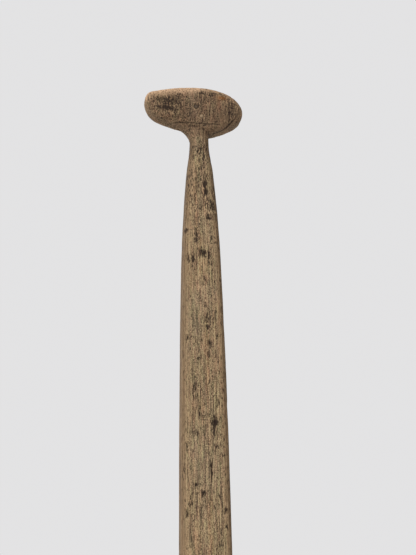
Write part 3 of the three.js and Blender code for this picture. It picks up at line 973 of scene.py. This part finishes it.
def make_grip():
    """The T-grip, hand-worn and stained, with its saw lines and a split by the right wing."""
    skin = remeshed(NODES["t_grip"], WOOD_VOXEL)
    skin.points = skin.spread(skin.points, 5)
    start = skin.points.copy()
    x, y, z = start.T
    front = smoothstep(2, -4, y)
    neck = smoothstep(22, 12, np.abs(x)) * smoothstep(NECK_TOP + 24, NECK_TOP + 12, z)
    keep = np.clip(1 - 1.4 * peg_zones(start), 0, 1) * (1 - neck)
    weather(skin, GRIP_SEED, arris=0.15, coarse=0.55, grain=0.2, pits=0.3, keep=keep)
    ragged = noise(start, (2.0, 2.0, 2.6), GRIP_SEED + 20, 2)
    shaky = 0.4 * noise(start, (9, 9, 9), GRIP_SEED + 22, 2)
    uneven = 1.6 * noise(start, (7, 7, 7), GRIP_SEED + 23, 2)
    broken = 0.45 + 0.55 * smoothstep(-0.5, 0.2, noise(start, (5, 5, 5), GRIP_SEED + 24, 2))

    from_top, from_foot = rim_distance(start, True), rim_distance(start, False)
    # Painted highlight, partly wear too: the top band and the lit left end pale the edges, and the
    # crown loses flecks.
    edges, crown = rubbed_and_lit_edges(start, from_top, from_foot, uneven)
    skin.attributes["arris"] = np.maximum(0.2 * skin.attributes["arris"], edges)
    stain = np.zeros(len(start))
    for *place, strength in GRIP_MARKS:
        stain = np.maximum(stain, strength * blot(start, *place, ragged) * front)
    calm = smoothstep(11, 5, from_foot + uneven) * (1 - neck)
    stain = stain - 0.12 * calm - 0.30 * crown
    cut = np.zeros(len(start))
    for line, half_width, strength in GRIP_LINES:
        near = near_line(start + shaky[:, None], line, half_width)
        cut = np.maximum(cut, near * strength * broken)
    skin.push(-LINE_DEPTH * cut - GRIP_STAIN_DEPTH * np.clip(stain, 0, 1))

    rust = blot(start, *RUST_SPOT, ragged) * front
    rot = 0.55 * smoothstep(0.40, 0.95, stain) * (0.5 + 0.5 * ragged)
    # Painted shade: the grip's front darkens towards the right and towards the foot of the head.
    shade_rightwards = 0.22 * smoothstep(-40, -12, x) + 0.24 * smoothstep(-6, 22, x)
    lower_right_shade = shade_rightwards * smoothstep(22, 44, TOP - z) * front
    finish_skin(skin, stain, np.maximum(0.9 * cut, rot), rust, lower_right_shade)
    piece = skin.build("t_grip_worn", GRIP_WOOD)
    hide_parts("t_grip")


# How much the pegs swell all round, in mm, so that they all but fill their holes.
PEG_SWELL = 0.22
# The radius at a peg's tip as a share of its full radius, and how fast it grows along the peg.
PEG_TIP, PEG_FLARE = 0.55, 14


def circle(count):
    """Angles spaced evenly round a full turn."""
    return 2 * np.pi * np.arange(count) / count


def ring_about(centre, turn, radius, y):
    """A ring of points about an axis along Y."""
    x, z = centre.x + radius * np.cos(turn), centre.z - radius * np.sin(turn)
    return np.column_stack([x, np.full(len(turn), y), z])


def make_pegs():
    """Whittled pegs, seen as two end-grain dots on each face of the grip."""
    stations = np.concatenate([[0.0, 0.012, 0.03], np.linspace(0.06, 0.94, 12), [0.97, 0.988, 1.0]])
    turn = circle(28)
    for index, (name, (sunk, tone)) in enumerate(PEG_ENDS.items()):
        low, high = (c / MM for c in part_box(name))
        centre, radius = (low + high) / 2, (high.x - low.x) / 2 + PEG_SWELL
        whittled = 1 - 0.05 * np.abs(np.sin(4 * turn + index))
        rings = []
        for t in stations:
            r = radius * min(1.0, PEG_TIP + PEG_FLARE * min(t, 1 - t)) * whittled
            y = low.y + sunk + (high.y - low.y - 2 * sunk) * t
            rings.append(ring_about(centre, turn, r, y))
        skin = lofted(rings)
        skin.push(0.1 * noise(skin.points, (1.5, 1.5, 1.5), PEG_SEED + index, 2))
        # The lower peg's end gets a painted highlight.
        skin.attributes["tone"] = np.full(len(skin.points), tone)
        piece = skin.build(f"{name}_whittled", PEG_WOOD)
        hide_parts(name)


def make_wedge():
    """The wedge in the tenon's end, slightly crushed where it was struck."""
    skin = remeshed(NODES["grip_wedge"], WEDGE_VOXEL)
    skin.points = skin.spread(skin.points, 2)
    struck = smoothstep(GRIP_BOX[1].z - 3, GRIP_BOX[1].z, skin.points[:, 2])
    skin.push(0.12 * noise(skin.points, (1.2, 1.2, 2.5), WEDGE_SEED, 2) * (1 + struck))
    piece = skin.build("grip_wedge_driven", WEDGE_WOOD)
    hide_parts("grip_wedge")


# The band's sheet, its space round the wood, and how far in and how high its foot is rounded, in mm.
BAND_WALL, BAND_CLEAR = 0.9, 0.55
BAND_TUCK, BAND_ROUNDED = 0.9, 1.4
BAND_SAMPLES = 90


def band_ring(z, grow):
    """The wood's outline at a height, moved out all round by `grow` mm."""
    share = spaced_across(BAND_SAMPLES)
    at = np.interp(z, OUTLINE.heights, np.arange(len(OUTLINE.heights)))
    row = int(at)
    part = at - row
    half = OUTLINE.half[row] * (1 - part) + OUTLINE.half[row + 1] * part
    depth = OUTLINE.depth[row] * (1 - part) + OUTLINE.depth[row + 1] * part
    x = half * share
    y = np.interp(share, OUTLINE.share, depth)
    loop = np.concatenate([np.column_stack([x, -y]), np.column_stack([x[::-1], y[::-1]])])
    step = np.roll(loop, -1, 0) - np.roll(loop, 1, 0)
    normal = np.column_stack([step[:, 1], -step[:, 0]])
    normal /= np.maximum(np.linalg.norm(normal, axis=1, keepdims=True), 1e-9)
    return np.column_stack([loop + normal * grow, np.full(len(loop), z)])


def make_band():
    """The sheet metal cap on the tip, dented and a little uneven along its upper edge."""
    height = BAND_BOX[1].z
    floor, walls = [0.0, 0.5], np.linspace(2.2, height, 18)
    outer = []
    for z in [*floor, *walls]:
        tuck = BAND_TUCK * max(0.0, 1 - z / BAND_ROUNDED) ** 2
        outer.append(band_ring(z, BAND_CLEAR + BAND_WALL - tuck))
    inner = [band_ring(z, BAND_CLEAR) for z in reversed(walls)]
    skin = lofted(outer + inner)
    start = skin.points.copy()
    upper_edge = smoothstep(height - 5, height, start[:, 2])
    skin.points[:, 2] += upper_edge * 0.5 * noise(start, (9, 200, 200), BAND_SEED + 2, 2)
    dents = smoothstep(0.35, 0.8, noise(start, (11, 30, 9), BAND_SEED, 2))
    bulge = 0.18 * noise(start, (16, 30, 14), BAND_SEED + 1, 2) - 0.35 * dents
    bulge *= smoothstep(0.8, 3.0, start[:, 2])
    skin.points += skin.normals() * bulge[:, None] * (1, 1, 0)
    piece = skin.build("tip_band_dented", BAND_METAL)
    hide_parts("tip_band")


# Radius of the rivets' shanks, height of their domes and of the domes' upright edges, in mm.
RIVET_SHANK, RIVET_DOME, RIVET_LIP = 1.6, 1.6, 0.25


def make_rivets():
    """Hammered rivets: an uneven dome on each face, joined by the shank."""
    turn = circle(32)
    for index, name in enumerate((n for n in NODES if n.startswith("tip_rivet")), start=1):
        low, high = (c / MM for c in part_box(name))
        centre, radius = (low + high) / 2, (high.x - low.x) / 2
        seat, lip = high.y - RIVET_DOME, high.y - RIVET_DOME + RIVET_LIP
        profile = [(RIVET_SHANK, 0.0), (RIVET_SHANK, seat - 0.4), (radius * 0.96, seat), (radius, lip)]
        for angle in np.linspace(0.12, 0.97, 8) * math.pi / 2:
            profile.append((radius * math.cos(angle), lip + (high.y - lip) * math.sin(angle)))
        whole = [(r, -y) for r, y in profile[:0:-1]] + profile
        skin = lofted([ring_about(centre, turn, r, y) for r, y in whole])
        peened = noise(skin.points + 31 * index, (2.2, 2.2, 2.2), RIVET_SEED, 2)
        skin.push(0.16 * peened * smoothstep(seat, high.y, np.abs(skin.points[:, 1])) - 0.05)
        piece = skin.build(f"{name}_peened", RIVET_METAL)
        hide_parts(name)


def keep_dowels():
    """The hidden dowels stay as the CAD has them, with a clean wood finish."""
    for name, node in NODES.items():
        if name.startswith("blade_dowel"):
            node.data.materials.clear()
            node.data.materials.append(DOWEL_WOOD)


def make_floor():
    """A plain pale floor, a disc that ends below the camera's view."""
    mesh = bpy.data.meshes.new("floor")
    rim = [(FLOOR_RADIUS * math.cos(a), FLOOR_RADIUS * math.sin(a), 0) for a in circle(96)]
    mesh.from_pydata(rim, [], [tuple(range(len(rim)))])
    g = Graph("floor_paint")
    grey = g.noise((900, 900, 900), 2, 0.5)
    tones = [(0.3, FLOOR_GREY - FLOOR_MOTTLE), (0.7, FLOOR_GREY + FLOOR_MOTTLE)]
    g.set(Base_Color=g.ramp(grey, tones), Roughness=0.95)
    mesh.materials.append(g.material)
    floor = bpy.data.objects.new("floor", mesh)
    bpy.context.scene.collection.objects.link(floor)


bpy.context.scene.view_settings.view_transform = "Standard"
make_camera()
make_world()
make_key()
make_floor()
make_loom()
make_cheeks()
make_grip()
make_pegs()
make_wedge()
make_band()
make_rivets()
keep_dowels()
